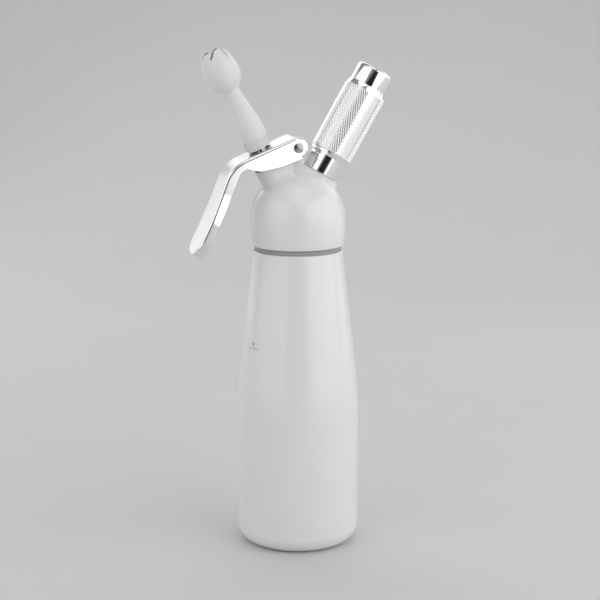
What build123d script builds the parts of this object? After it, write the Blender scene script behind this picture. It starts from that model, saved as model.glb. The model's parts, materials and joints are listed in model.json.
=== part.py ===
"""Whipped cream dispenser.

A lacquered bottle, a screw-on head with a lever-operated dispensing valve, and a
charger holder. Sizes are in millimetres. The bottle stands on Z = 0 with its axis on Z.
XZ is the plane of symmetry: the nozzle and the lever lean towards -X, the charger
holder towards +X. The small heights called "along" are measured along a leaning axis
from the point where it leaves the bottle's axis.
"""

from math import cos, radians, sin, sqrt
import os

from build123d import *

os.makedirs("parts", exist_ok=True)

# Fits between pieces
running = 0.05  # radial gap of a pin or stem in its bush
thread_gap = 0.3  # radial gap between two pieces that screw together
seat_gap = 0.3  # gap left where one piece screws down against another

# Bottle
base_radius = 40.0
base_corner = 11.0
base_dish = 0.8
foot_width = 9.0
taper_start = 97.0
taper_blend = 218.0
shoulder_height = 195.2
shoulder_radius = 29.2
bottle_wall = 1.5
neck_radius = 26.0
neck_wall = 2.0
neck_length = 18.8
lip_round = 0.8

# Silicone band at the foot of the neck
band_radius = 28.2
band_height = 3.0

# Head casting
head_gap = 0.3  # between the band and the head's lower edge
skirt_radius = 29.9
skirt_chamfer = 0.6
dome_radius = 30.84
dome_rise = 16.8  # from the head's lower edge to the dome's centre
dome_wall = 6.8
bottle_thread_depth = 0.9  # height of the bottle's thread ridges
gasket_thickness = 2.2
gasket_width = 3.6
web_foot = (-15.0, 19.7)  # the web's front and rear feet and its middle, from the dome's centre
web_rear_foot = (0.0, 22.7)
web_middle = (-8.0, 14.7)
web_reach = 13.0  # how far the valve boss is drawn out towards the lug

# Dispensing valve, on an axis that leans over the lever
valve_tilt = 27.0
valve_drop = 2.7  # from the dome's centre down to where this axis leaves the bottle's axis
valve_boss_radius = 9.7
valve_boss_top = 42.0
valve_boss_foot = 20.0  # where the boss ends inside the head
valve_blend = 4.0
seat_bore = 4.8
seat_depth = 3.0
bush_bore = 5.6
bush_shelf = 1.2  # between the seat and the guide bush
spring_pocket_radius = 6.6
spring_pocket_depth = 9.0
spring_plate = 0.8
stem_radius = 4.0
stem_bore = 2.2
stem_top = 67.0
collar_radius = 6.4
collar_thickness = 2.2
collar_top = 50.7
port_radius = 1.3
stud_radius = 2.5
stud_end = 13.6
seal_radius = 6.6
seal_thickness = 1.8
nut_flats = 9.0
nut_thickness = 3.4
o_ring_section = 1.6
valve_wire = 0.9
valve_turns = 6

# Charger side, on an axis that leans the other way
holder_tilt = 30.0
holder_rise = 4.1  # from the dome's centre up to where this axis leaves the bottle's axis
holder_boss_radius = 13.8
holder_boss_top = 28.4
holder_blend = 3.0
spigot_radius = 10.4
spigot_height = 13.6
spigot_shank = 8.0
spigot_foot = 14.5
charger_neck_bore = 4.3
carrier_length = 6.4
pin_radius = 1.0
pin_reach = 1.6  # how far the pin stands in the charger's neck
charger_seal_thickness = 1.6
filter_thickness = 1.0
ball_radius = 2.0
ball_land = 1.0  # wall that the ball closes against
gas_bore = 1.4
carrier_drop = 3.4  # from the boss's rim down to the filter
valve_chamber = 2.6
check_plug_radius = 3.4
check_plug_length = 2.4
check_wire = 0.3
check_coil_radius = 1.6
check_turns = 4

# Gas charger: a standard 8 g bulb
charger_radius = 9.0
charger_length = 65.5
charger_neck_radius = 3.9
charger_neck_length = 8.5
charger_shoulder = 9.0
charger_wall = 1.3
charger_rim_round = 0.4
charger_neck_blend = 3.0
charger_shoulder_round = 7.0
charger_end_round = 6.0

# Charger holder
holder_radius = 12.2
holder_crown_radius = 12.6
crown_wall = 4.5
crown_length = 12.4
crown_round = 2.0
charger_gap = 0.3
grip_start = 11.9
grip_radius = 14.1
grip_chamfer = 1.2
grip_chamfer_length = 3.6

# Lever: a polished shell, open on its inner side. Points of the side view are from the dome's centre
pivot = (-2.85, 46.7)
pivot_boss = 7.0
lever_wall = 2.4
hood_wall = 1.3  # the skin where it passes over the lug
lever_round = 2.0
head_half_width = 13.5
handle_half_width = 15.2
plate_fall = 22.6
bend_radius = 24.0
handle_top = (-51.6, 22.3)
handle_middle = (-59.4, 3.2)
handle_tip = (-71.2, -20.4)
flange_tip = (-65.0, -23.9)
flange_middle = (-51.4, 4.1)
flange_top = (-41.2, 28.2)
flange_bend = (-38.6, 32.2)
cheek_foot = ((-13.3, 35.4), (-27.0, 32.6), (-34.3, 34.1))
flange_round = 0.8
taper_foot = 27.0
taper_head = 42.0
taper_round = 60.0
tip_corner = 12.0
slot_half_width = 5.0
slot_half_length = 7.2

# Pivot
lug_radius = 5.4
lug_half_width = 9.7
lug_round = 0.8
bush_radius = 3.2
screw_radius = 2.2
screw_head_radius = 3.0
screw_head_thickness = 1.5
screw_sink = 1.0  # how deep the head sits in the cheek
screw_slot = 0.9
screw_slot_angle = 15.0
nut_radius = 3.4
washer_radius = 4.6

# Tulip nozzle and the adapter that it screws on
adapter_radius = 7.0
adapter_length = 9.0
adapter_foot = 57.0
adapter_cap = 1.5
adapter_outlet = 2.4
nozzle_foot = 55.5
nozzle_radius = 8.6
ribbed_radius = 8.3
ribbed_height = 6.6
nozzle_straight = 15.5
nozzle_neck_radius = 5.55
nozzle_neck = 41.0
nozzle_neck_length = 4.5
nozzle_curve = 50.0
tulip_radius = 11.5
tulip_belly = 51.5
tulip_tip_radius = 6.9
nozzle_length = 67.8
nozzle_wall = 1.6
tip_wall = 0.9
nozzle_seal_thickness = 1.4
tine_count = 6
tine_turn = 23.0  # where the nozzle stops when it is screwed home
notch_depth = 9.2
notch_width = 4.6


def leaning(height, tilt):
    """Profile plane of an axis that leaves the bottle's axis at a height: X is radius, Y is along."""
    lean = radians(tilt)
    return Plane(origin=(0, 0, height), x_dir=(cos(lean), 0, -sin(lean)), z_dir=(0, -1, 0))


def across(profile, along):
    """Plane square to a leaning axis."""
    origin = profile.origin + profile.y_dir * along
    return Plane(origin=origin, x_dir=profile.x_dir, z_dir=profile.y_dir)


def axis_of(profile):
    return Axis(profile.origin, profile.y_dir)


def in_world(profile, point):
    """A point of a plane's own sketch, in the part's frame."""
    return profile.from_local_coords(Vector(*point))


def save(piece, name):
    piece.part.label = name
    export_step(piece.part, f"parts/{name}.step")


# Heights that several pieces share
neck_top = shoulder_height + neck_length
head_bottom = shoulder_height + band_height + head_gap
dome_height = head_bottom + dome_rise
head_bore = neck_radius + bottle_thread_depth + thread_gap
gasket_top = neck_top + gasket_thickness
cavity_radius = dome_radius - dome_wall
pocket_floor = valve_boss_top - spring_pocket_depth
seat_face = valve_boss_foot
bush_foot = seat_face + seat_depth + bush_shelf

upright = Plane.XZ
side = Plane(origin=(0, 0, dome_height), x_dir=(1, 0, 0), z_dir=(0, -1, 0))
valve = leaning(dome_height - valve_drop, -valve_tilt)
holder = leaning(dome_height + holder_rise, holder_tilt)

# ---------------------------------------------------------------- bottle
with BuildPart() as bottle:
    with BuildSketch(upright):
        with BuildLine():
            FilletPolyline(
                (0, 0),
                (base_radius, 0),
                (base_radius, taper_start),
                (shoulder_radius, shoulder_height),
                (neck_radius, shoulder_height),
                radius=(base_corner, taper_blend, lip_round),
            )
            Polyline((neck_radius, shoulder_height), (neck_radius, neck_top), (0, neck_top), (0, 0))
        make_face()
    revolve(axis=Axis.Z)
    # The hollow follows the outside at one wall's thickness, up to a narrower mouth
    with BuildSketch(upright):
        inside = base_radius - bottle_wall
        throat = neck_radius - neck_wall
        shoulder_inside = shoulder_radius - bottle_wall
        with BuildLine():
            FilletPolyline(
                (0, bottle_wall + base_dish),
                (inside, bottle_wall + base_dish),
                (inside, taper_start),
                (shoulder_inside, shoulder_height - 2 * neck_wall),
                (throat, shoulder_height),
                (throat, neck_top),
                radius=(base_corner - bottle_wall, taper_blend - bottle_wall, 2.0, 2.0),
            )
            Polyline((throat, neck_top), (0, neck_top), (0, bottle_wall + base_dish))
        make_face()
    revolve(axis=Axis.Z, mode=Mode.SUBTRACT)
    # Dished base, so that the bottle stands on a ring
    dish_radius = base_radius - base_corner - foot_width / 2
    with BuildSketch(upright):
        with BuildLine():
            ThreePointArc((-dish_radius, 0), (0, base_dish), (dish_radius, 0))
            Line((dish_radius, 0), (-dish_radius, 0))
        make_face()
        split(bisect_by=Plane.YZ)
    revolve(axis=Axis.Z, mode=Mode.SUBTRACT)
    fillet(bottle.edges().group_by(Axis.Z)[-1], lip_round)
save(bottle, "bottle")

with BuildPart() as neck_band:
    with BuildSketch(Plane.XY.offset(shoulder_height)):
        Circle(band_radius)
        Circle(neck_radius, mode=Mode.SUBTRACT)
    extrude(amount=band_height)
    fillet(neck_band.edges().filter_by(GeomType.CIRCLE).group_by(SortBy.RADIUS)[-1], band_height / 6)
save(neck_band, "neck_band")

# ---------------------------------------------------------------- head
# The casting's neck: the valve boss, drawn out to the lug that carries the lever
with BuildPart() as casting_neck:
    with BuildSketch(side):
        with BuildLine():
            CenterArc(pivot, lug_radius, 90, 360)
            Polyline(web_foot, web_rear_foot, web_middle, close=True)
        make_hull()
    extrude(amount=lug_half_width, both=True)
    with BuildSketch(across(valve, 0)):
        Circle(valve_boss_radius)
    extrude(amount=valve_boss_top)
    with BuildSketch(valve):
        with Locations((0, valve_boss_foot)):
            Rectangle(web_reach, valve_boss_top - valve_boss_foot, align=Align.MIN)
    extrude(amount=valve_boss_radius, both=True)


def at_neck_foot(edge):
    """Whether an edge is where the front and the sides of the neck meet the dome."""
    middle = edge @ 0.5
    return middle.X < 0 and abs((middle - side.origin).length - dome_radius) < running


def round_lug(edge):
    """Whether an edge is an outer edge of the lug or of the web behind it."""
    middle = edge @ 0.5
    behind = middle.X > pivot[0] and middle.Z > holder.origin.Z
    return behind and abs(abs(middle.Y) - lug_half_width) < running


with BuildPart() as head:
    with BuildSketch(upright):
        with BuildLine():
            Polyline(
                (0, dome_height + dome_radius),
                (0, head_bottom),
                (skirt_radius - skirt_chamfer, head_bottom),
                (skirt_radius, head_bottom + skirt_chamfer),
            )
            TangentArc(
                (dome_radius, dome_height), (skirt_radius, head_bottom + skirt_chamfer), tangent=(0, -1)
            )
            CenterArc((0, dome_height), dome_radius, 0, 90)
        make_face()
    revolve(axis=Axis.Z)
    # The neck and then the charger boss grow out of the dome with a blend at the foot
    add(casting_neck.part)
    fillet(head.edges(Select.LAST).filter_by(at_neck_foot), valve_blend)
    with BuildSketch(across(holder, 0)):
        Circle(holder_boss_radius)
    extrude(amount=holder_boss_top)
    fillet(head.edges(Select.LAST).filter_by(GeomType.BSPLINE), holder_blend)
    fillet(head.edges().filter_by(round_lug), lug_round)

    # Bore for the bottle's neck, and the domed space above it
    with BuildSketch(Plane.XY.offset(head_bottom)):
        Circle(head_bore)
    extrude(amount=gasket_top - head_bottom, mode=Mode.SUBTRACT)
    with BuildSketch(upright):
        with BuildLine():
            arc = CenterArc((0, dome_height), cavity_radius, 0, 90)
            Polyline(arc @ 1, (0, dome_height), arc @ 0)
        make_face()
    revolve(axis=Axis.Z, mode=Mode.SUBTRACT)
    # The valve boss goes on inside, down to its seat
    with BuildSketch(across(valve, valve_boss_foot)):
        Circle(valve_boss_radius)
    extrude(amount=valve_boss_foot / 2)
    with BuildSketch(valve):
        Polygon(
            (0, 0),
            (seat_bore, 0),
            (seat_bore, bush_foot),
            (bush_bore, bush_foot),
            (bush_bore, pocket_floor),
            (spring_pocket_radius, pocket_floor),
            (spring_pocket_radius, valve_boss_top + 1),
            (0, valve_boss_top + 1),
            align=None,
        )
    revolve(axis=axis_of(valve), mode=Mode.SUBTRACT)
    with BuildSketch(across(holder, 0)):
        Circle(spigot_shank)
    extrude(amount=holder_boss_top + 1, mode=Mode.SUBTRACT)
    with BuildSketch(side):
        with Locations(pivot):
            Circle(bush_radius)
    extrude(amount=lug_half_width, both=True, mode=Mode.SUBTRACT)
save(head, "head")

with BuildPart() as head_gasket:
    with BuildSketch(Plane.XY.offset(neck_top)):
        Circle(head_bore)
        Circle(head_bore - gasket_width, mode=Mode.SUBTRACT)
    extrude(amount=gasket_thickness)
save(head_gasket, "head_gasket")

# ---------------------------------------------------------------- dispensing valve
with BuildPart() as guide_bush:
    with BuildSketch(across(valve, bush_foot)):
        Circle(bush_bore)
        Circle(stem_radius + running, mode=Mode.SUBTRACT)
    extrude(amount=pocket_floor - o_ring_section - 4 * running - bush_foot)
save(guide_bush, "guide_bush")

with BuildPart() as stem_o_ring:
    with BuildSketch(valve):
        with Locations(((stem_radius + bush_bore) / 2, pocket_floor - o_ring_section / 2 - running)):
            Circle((bush_bore - stem_radius) / 2)
    revolve(axis=axis_of(valve))
save(stem_o_ring, "stem_o_ring")

with BuildPart() as spring_washer:
    with BuildSketch(across(valve, pocket_floor)):
        Circle(spring_pocket_radius)
        Circle(stem_radius + 2 * running, mode=Mode.SUBTRACT)
    extrude(amount=spring_plate)
save(spring_washer, "spring_washer")

collar_foot = collar_top - collar_thickness
spring_foot = pocket_floor + spring_plate
valve_coil_radius = spring_pocket_radius - valve_wire / 2 - 2 * thread_gap
with BuildPart() as valve_spring:
    coil_height = collar_foot - spring_foot - valve_wire
    coil_foot = across(valve, spring_foot + valve_wire / 2)
    with BuildLine():
        coil = Helix(
            pitch=coil_height / valve_turns,
            height=coil_height,
            radius=valve_coil_radius,
            center=coil_foot.origin,
            direction=coil_foot.z_dir,
        )
    with BuildSketch(Plane(origin=coil @ 0, z_dir=coil % 0)):
        Circle(valve_wire / 2)
    sweep(is_frenet=True)
save(valve_spring, "valve_spring")

with BuildPart() as valve_stem:
    with BuildSketch(valve):
        Polygon(
            (0, stud_end),
            (stud_radius, stud_end),
            (stud_radius, seat_face),
            (stem_radius, seat_face),
            (stem_radius, collar_foot),
            (collar_radius, collar_foot),
            (collar_radius, collar_top - collar_thickness / 3),
            (collar_radius - collar_thickness / 3, collar_top),
            (stem_radius, collar_top),
            (stem_radius, stem_top),
            (0, stem_top),
            align=None,
        )
    revolve(axis=axis_of(valve))
    with BuildSketch(across(valve, stem_top)):
        Circle(stem_bore)
    extrude(amount=seat_face + port_radius / 2 - stem_top, mode=Mode.SUBTRACT)
    # Two cross holes let the cream into the stem just above the seal
    port_centre = valve.origin + valve.y_dir * (seat_face + 1.4 * port_radius)
    for port_direction in (valve.x_dir, Vector(0, 1, 0)):
        with BuildSketch(Plane(origin=port_centre, z_dir=port_direction)):
            Circle(port_radius)
        extrude(amount=stem_radius + 1, both=True, mode=Mode.SUBTRACT)
save(valve_stem, "valve_stem")

with BuildPart() as valve_seal:
    with BuildSketch(across(valve, seat_face - seal_thickness)):
        Circle(seal_radius)
        Circle(stud_radius, mode=Mode.SUBTRACT)
    extrude(amount=seal_thickness)
save(valve_seal, "valve_seal")

nut_foot = seat_face - seal_thickness - nut_thickness
with BuildPart() as seal_nut:
    with BuildSketch(across(valve, nut_foot)):
        RegularPolygon(nut_flats / 2, 6, major_radius=False)
        Circle(stud_radius, mode=Mode.SUBTRACT)
    extrude(amount=nut_thickness)
save(seal_nut, "seal_nut")

# ---------------------------------------------------------------- nozzle
with BuildPart() as nozzle_adapter:
    with BuildSketch(valve):
        adapter_top = adapter_foot + adapter_length
        Polygon(
            (stem_radius, adapter_foot),
            (adapter_radius, adapter_foot),
            (adapter_radius, adapter_top + adapter_cap),
            (adapter_outlet, adapter_top + adapter_cap),
            (adapter_outlet, stem_top),
            (stem_radius, stem_top),
            align=None,
        )
    revolve(axis=axis_of(valve))
save(nozzle_adapter, "nozzle_adapter")

socket_top = adapter_top + adapter_cap + nozzle_seal_thickness
socket_radius = adapter_radius + thread_gap
with BuildPart() as nozzle_seal:
    with BuildSketch(across(valve, socket_top - nozzle_seal_thickness)):
        Circle(socket_radius)
        Circle(adapter_outlet + nozzle_wall, mode=Mode.SUBTRACT)
    extrude(amount=nozzle_seal_thickness)
save(nozzle_seal, "nozzle_seal")


def tulip_outline(wall, rim_wall):
    """Half outline of the nozzle's petals, from the neck to the tips, a wall inside the outer face."""
    neck = (nozzle_neck_radius - wall, nozzle_foot + nozzle_neck)
    belly = (tulip_radius - wall, nozzle_foot + tulip_belly)
    tip = (tulip_tip_radius - rim_wall, nozzle_foot + nozzle_length)
    TangentArc(belly, neck, tangent=(0, -1))
    TangentArc(belly, tip, tangent=(0, 1))
    return neck, tip


with BuildPart() as tulip_nozzle:
    with BuildSketch(valve):
        with BuildLine():
            neck, tip = tulip_outline(0, 0)
            ribbed_top = nozzle_foot + ribbed_height
            Polyline(
                tip,
                (0, tip[1]),
                (0, nozzle_foot),
                (ribbed_radius, nozzle_foot),
                (ribbed_radius, ribbed_top),
                (nozzle_radius, ribbed_top),
            )
            FilletPolyline(
                (nozzle_radius, ribbed_top),
                (nozzle_radius, nozzle_foot + nozzle_straight),
                (nozzle_neck_radius, neck[1] - nozzle_neck_length),
                neck,
                radius=(nozzle_curve, nozzle_curve / 2),
            )
        make_face()
    revolve(axis=axis_of(valve))
    # Socket for the adapter, the channel above it and the hollow of the petals
    with BuildSketch(valve):
        with BuildLine():
            neck, tip = tulip_outline(nozzle_wall, tip_wall)
            Polyline(
                tip,
                (0, tip[1]),
                (0, nozzle_foot),
                (socket_radius, nozzle_foot),
                (socket_radius, socket_top),
                (adapter_outlet + nozzle_wall, socket_top),
                neck,
            )
        make_face()
    revolve(axis=axis_of(valve), mode=Mode.SUBTRACT)
    # Notches part the rim into tines
    for tine in range(tine_count):
        notch_angle = 360 / tine_count * tine + tine_turn
        turned = across(valve, tip[1]).rotated((0, 0, notch_angle))
        notch_plane = Plane(origin=turned.origin, x_dir=turned.y_dir, z_dir=turned.x_dir)
        with BuildSketch(notch_plane):
            Polygon((-notch_width / 2, 0), (notch_width / 2, 0), (0, -notch_depth), align=None)
        extrude(amount=tulip_radius, mode=Mode.SUBTRACT)
save(tulip_nozzle, "tulip_nozzle")

# ---------------------------------------------------------------- lever
with BuildLine() as lever_skin:
    crown = PolarLine(pivot, pivot_boss, 90 + plate_fall, mode=Mode.PRIVATE) @ 1
    handle = ThreePointArc(handle_tip, handle_middle, handle_top)
    plate = PolarLine(crown, -handle_tip[0], 180 + plate_fall, mode=Mode.PRIVATE)
    corner = IntersectingLine(handle @ 1, handle % 1, plate, mode=Mode.PRIVATE) @ 1
    FilletPolyline(handle @ 1, corner, crown, radius=bend_radius)
lever_reach = lever_skin.wire().length
tip_direction = lever_skin.line % 0
lever_plan = Plane(
    origin=in_world(side, handle_tip),
    x_dir=(0, 1, 0),
    z_dir=(tip_direction.Y, 0, -tip_direction.X),
)


def lever_outline(inset):
    """The lever's width seen square to its tip, moved in on all sides."""
    with BuildSketch() as outline:
        with BuildLine():
            FilletPolyline(
                (0, inset),
                (handle_half_width - inset, inset),
                (handle_half_width - inset, taper_foot),
                (head_half_width - inset, taper_head),
                (head_half_width - inset, lever_reach),
                radius=(tip_corner - inset, taper_round, taper_round),
            )
            mirror(about=Plane.YZ)
            Line((head_half_width - inset, lever_reach), (inset - head_half_width, lever_reach))
        make_face()
    return outline.sketch


# The hollow under the skin: the same shape, one wall smaller and open on the inner side
with BuildPart() as lever_hollow:
    with BuildSketch(side):
        with BuildLine():
            hollow_skin = offset(lever_skin.line, amount=lever_wall, side=Side.RIGHT, closed=False)
            below_tip = hollow_skin @ 0 + Vector(2 * handle_half_width, -handle_half_width)
            below_pivot = Vector(*pivot) - Vector(0, 3 * pivot_boss)
            Polyline(hollow_skin @ 0, below_tip, below_pivot, hollow_skin @ 1)
        make_face()
    extrude(amount=handle_half_width, both=True)
    with BuildSketch(lever_plan.offset(-lever_reach)):
        add(lever_outline(lever_wall))
    extrude(amount=2 * lever_reach, mode=Mode.INTERSECT)

# The lobe round the pivot
with BuildPart() as lever_lobe:
    with BuildSketch(side):
        with BuildLine():
            lobe_arc = CenterArc(pivot, pivot_boss, 90 + plate_fall, -180)
            Line(lobe_arc @ 0, lobe_arc @ 1)
        make_face()
    extrude(amount=head_half_width, both=True)
    fillet(lever_lobe.edges().filter_by(GeomType.CIRCLE), lever_round)

with BuildPart() as lever:
    with BuildSketch(side):
        with BuildLine():
            add(lever_skin.line)
            lobe_foot = 2 * Vector(*pivot) - crown
            Polyline(crown, lobe_foot, *cheek_foot)
            ThreePointArc(cheek_foot[-1], flange_bend, flange_top)
            ThreePointArc(flange_top, flange_middle, flange_tip)
            Line(flange_tip, handle_tip)
        make_face()
    extrude(amount=handle_half_width, both=True)
    with BuildSketch(lever_plan.offset(-lever_reach)):
        add(lever_outline(0))
    extrude(amount=2 * lever_reach, mode=Mode.INTERSECT)
    # One rounding runs round the whole skin, and a smaller one round the free edge
    fillet(lever.edges().sort_by_distance(in_world(side, handle_tip))[0], lever_round)
    fillet(lever.edges().sort_by_distance(in_world(side, flange_tip))[0], flange_round)
    add(lever_lobe.part)
    add(lever_hollow.part, mode=Mode.SUBTRACT)
    # The lobe is a thin hood over the lug, open below the pivot
    with BuildSketch(side):
        with Locations(pivot):
            Circle(pivot_boss - hood_wall)
            Rectangle(2 * pivot_boss, 2 * pivot_boss, align=(Align.CENTER, Align.MAX))
    extrude(amount=head_half_width - lever_wall, both=True, mode=Mode.SUBTRACT)
    # A slot lets the valve stem through the plate
    with BuildSketch(across(valve, collar_top)):
        SlotOverall(2 * slot_half_length, 2 * slot_half_width)
    extrude(amount=pivot_boss, mode=Mode.SUBTRACT)
    with BuildSketch(side):
        with Locations(pivot):
            Circle(screw_radius)
    extrude(amount=head_half_width, both=True, mode=Mode.SUBTRACT)
    with BuildSketch(side.offset(head_half_width - screw_sink)):
        with Locations(pivot):
            Circle(screw_head_radius + seat_gap)
    extrude(amount=screw_sink, mode=Mode.SUBTRACT)
save(lever, "lever")

# ---------------------------------------------------------------- pivot
with BuildPart() as pivot_bush:
    with BuildSketch(side):
        with Locations(pivot):
            Circle(bush_radius)
            Circle(screw_radius + running, mode=Mode.SUBTRACT)
    extrude(amount=lug_half_width, both=True)
save(pivot_bush, "pivot_bush")

washer_thickness = head_half_width - lever_wall - lug_half_width - 2 * running
for name, hand in (("pivot_washer_near", 1), ("pivot_washer_far", -1)):
    with BuildPart() as pivot_washer:
        with BuildSketch(side.offset(hand * (lug_half_width + running))):
            with Locations(pivot):
                Circle(washer_radius)
                Circle(screw_radius + running, mode=Mode.SUBTRACT)
        extrude(amount=hand * washer_thickness)
    save(pivot_washer, name)

head_seat = head_half_width - screw_sink
with BuildPart() as pivot_screw:
    with BuildSketch(side.offset(-head_half_width - screw_head_thickness)):
        with Locations(pivot):
            Circle(screw_radius)
    extrude(amount=head_half_width + screw_head_thickness + head_seat)
    with BuildSketch(side.offset(head_seat)):
        with Locations(pivot):
            Circle(screw_head_radius)
    extrude(amount=screw_head_thickness)
    fillet(pivot_screw.edges().group_by(Axis.Y)[0], screw_head_thickness / 3)
    with BuildSketch(side.offset(head_seat + screw_head_thickness / 2)):
        with Locations(pivot):
            Rectangle(screw_slot, 3 * screw_head_radius, rotation=screw_slot_angle)
    extrude(amount=screw_head_thickness, mode=Mode.SUBTRACT)
save(pivot_screw, "pivot_screw")

with BuildPart() as pivot_nut:
    with BuildSketch(side.offset(-head_half_width)):
        with Locations(pivot):
            RegularPolygon(nut_radius, 6, major_radius=False)
            Circle(screw_radius, mode=Mode.SUBTRACT)
    extrude(amount=-screw_head_thickness)
save(pivot_nut, "pivot_nut")

# ---------------------------------------------------------------- gas inlet
filter_foot = holder_boss_top - carrier_drop
seat_top = filter_foot
carrier_foot = filter_foot + filter_thickness
charger_seal_foot = carrier_foot + carrier_length
charger_foot = charger_seal_foot + charger_seal_thickness
plug_top = spigot_foot + check_plug_length
ball_seat = seat_top - ball_land
ball_centre = ball_seat - sqrt(ball_radius**2 - gas_bore**2) - running

with BuildPart() as inlet_spigot:
    with BuildSketch(holder):
        Polygon(
            (gas_bore, ball_seat),
            (gas_bore, seat_top),
            (charger_neck_bore, seat_top),
            (charger_neck_bore, holder_boss_top + spigot_height),
            (spigot_radius - 1, holder_boss_top + spigot_height),
            (spigot_radius, holder_boss_top + spigot_height - 1),
            (spigot_radius, holder_boss_top),
            (spigot_shank, holder_boss_top),
            (spigot_shank, spigot_foot),
            (check_plug_radius, spigot_foot),
            (check_plug_radius, plug_top),
            (valve_chamber, plug_top),
            (valve_chamber, ball_seat),
            align=None,
        )
    revolve(axis=axis_of(holder))
save(inlet_spigot, "inlet_spigot")

with BuildPart() as inlet_filter:
    with BuildSketch(across(holder, filter_foot)):
        Circle(charger_neck_bore)
    extrude(amount=filter_thickness)
save(inlet_filter, "inlet_filter")

with BuildPart() as pin_carrier:
    with BuildSketch(across(holder, carrier_foot)):
        Circle(charger_neck_bore)
        Circle(pin_radius, mode=Mode.SUBTRACT)
        with PolarLocations((pin_radius + charger_neck_bore) / 2, 3):
            Circle(gas_bore / 2, mode=Mode.SUBTRACT)
    extrude(amount=carrier_length)
save(pin_carrier, "pin_carrier")

with BuildPart() as piercing_pin:
    with BuildSketch(holder):
        pin_tip = charger_foot + pin_reach
        Polygon(
            (0, carrier_foot),
            (pin_radius, carrier_foot),
            (pin_radius, pin_tip - 2 * pin_radius),
            (0, pin_tip),
            align=None,
        )
    revolve(axis=axis_of(holder))
save(piercing_pin, "piercing_pin")

with BuildPart() as charger_seal:
    with BuildSketch(across(holder, charger_seal_foot)):
        Circle(charger_neck_bore)
        Circle(pin_radius + seat_gap, mode=Mode.SUBTRACT)
    extrude(amount=charger_seal_thickness)
save(charger_seal, "charger_seal")

with BuildPart() as check_ball:
    with BuildSketch(holder):
        with BuildLine():
            CenterArc((0, ball_centre), ball_radius, -90, 180)
            Line((0, ball_centre - ball_radius), (0, ball_centre + ball_radius))
        make_face()
    revolve(axis=axis_of(holder))
save(check_ball, "check_ball")

with BuildPart() as check_plug:
    with BuildSketch(across(holder, spigot_foot)):
        Circle(check_plug_radius)
        Circle(gas_bore, mode=Mode.SUBTRACT)
    extrude(amount=check_plug_length)
save(check_plug, "check_plug")

with BuildPart() as check_spring:
    # The coils stop where the ball sits in the end of the spring
    spring_rise = sqrt((ball_radius + check_wire / 2) ** 2 - check_coil_radius**2)
    check_coil_height = ball_centre - spring_rise - plug_top - check_wire
    coil_foot = across(holder, plug_top + check_wire / 2)
    with BuildLine():
        coil = Helix(
            pitch=check_coil_height / check_turns,
            height=check_coil_height,
            radius=check_coil_radius,
            center=coil_foot.origin,
            direction=coil_foot.z_dir,
        )
    with BuildSketch(Plane(origin=coil @ 0, z_dir=coil % 0)):
        Circle(check_wire / 2)
    sweep(is_frenet=True)
save(check_spring, "check_spring")

# ---------------------------------------------------------------- charger and its holder
with BuildPart() as charger:
    charger_top = charger_foot + charger_length
    charger_body = charger_foot + charger_neck_length + charger_shoulder
    charger_roundings = (charger_rim_round, charger_neck_blend, charger_shoulder_round, charger_end_round)
    with BuildSketch(holder):
        with BuildLine():
            FilletPolyline(
                (0, charger_foot),
                (charger_neck_radius, charger_foot),
                (charger_neck_radius, charger_foot + charger_neck_length),
                (charger_radius, charger_body),
                (charger_radius, charger_top),
                (0, charger_top),
                radius=charger_roundings,
            )
            Line((0, charger_top), (0, charger_foot))
        make_face()
    revolve(axis=axis_of(holder))
    # Hollow, with a pierced neck
    with BuildSketch(holder):
        with BuildLine():
            hollow_radius = charger_radius - charger_wall
            FilletPolyline(
                (0, charger_foot),
                (pin_radius + seat_gap, charger_foot),
                (pin_radius + seat_gap, charger_foot + charger_neck_length),
                (hollow_radius, charger_body),
                (hollow_radius, charger_top - charger_wall),
                (0, charger_top - charger_wall),
                radius=charger_roundings[:-1] + (charger_end_round - charger_wall,),
            )
            Line((0, charger_top - charger_wall), (0, charger_foot))
        make_face()
    revolve(axis=axis_of(holder), mode=Mode.SUBTRACT)
save(charger, "charger")

holder_foot = holder_boss_top + seat_gap
cavity_top = charger_top + charger_gap
holder_top = cavity_top + crown_wall
crown_foot = holder_top - crown_length
grip_foot = holder_foot + grip_start
with BuildPart() as charger_holder:
    with BuildSketch(holder):
        with BuildLine():
            FilletPolyline(
                (holder_crown_radius, crown_foot),
                (holder_crown_radius, holder_top),
                (0, holder_top),
                radius=crown_round,
            )
            socket = (spigot_radius + thread_gap, holder_boss_top + spigot_height + charger_gap)
            cavity = charger_radius + charger_gap
            FilletPolyline(
                (0, cavity_top), (cavity, cavity_top), (cavity, socket[1]), radius=charger_end_round
            )
            Polyline(
                (cavity, socket[1]),
                socket,
                (socket[0], holder_foot),
                (holder_radius, holder_foot),
                (holder_radius, crown_foot),
                (holder_crown_radius, crown_foot),
            )
            Line((0, holder_top), (0, cavity_top))
        make_face()
    revolve(axis=axis_of(holder))
save(charger_holder, "charger_holder")

with BuildPart() as grip_sleeve:
    with BuildSketch(holder):
        Polygon(
            (holder_radius, grip_foot),
            (grip_radius - grip_chamfer, grip_foot),
            (grip_radius, grip_foot + grip_chamfer_length),
            (grip_radius, crown_foot - grip_chamfer_length),
            (grip_radius - grip_chamfer, crown_foot),
            (holder_radius, crown_foot),
            align=None,
        )
    revolve(axis=axis_of(holder))
save(grip_sleeve, "grip_sleeve")
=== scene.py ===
import json
from math import asin, atan2, cos, pi, radians, sin, tan

import bmesh
import bpy
from mathutils import Matrix, Vector

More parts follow.
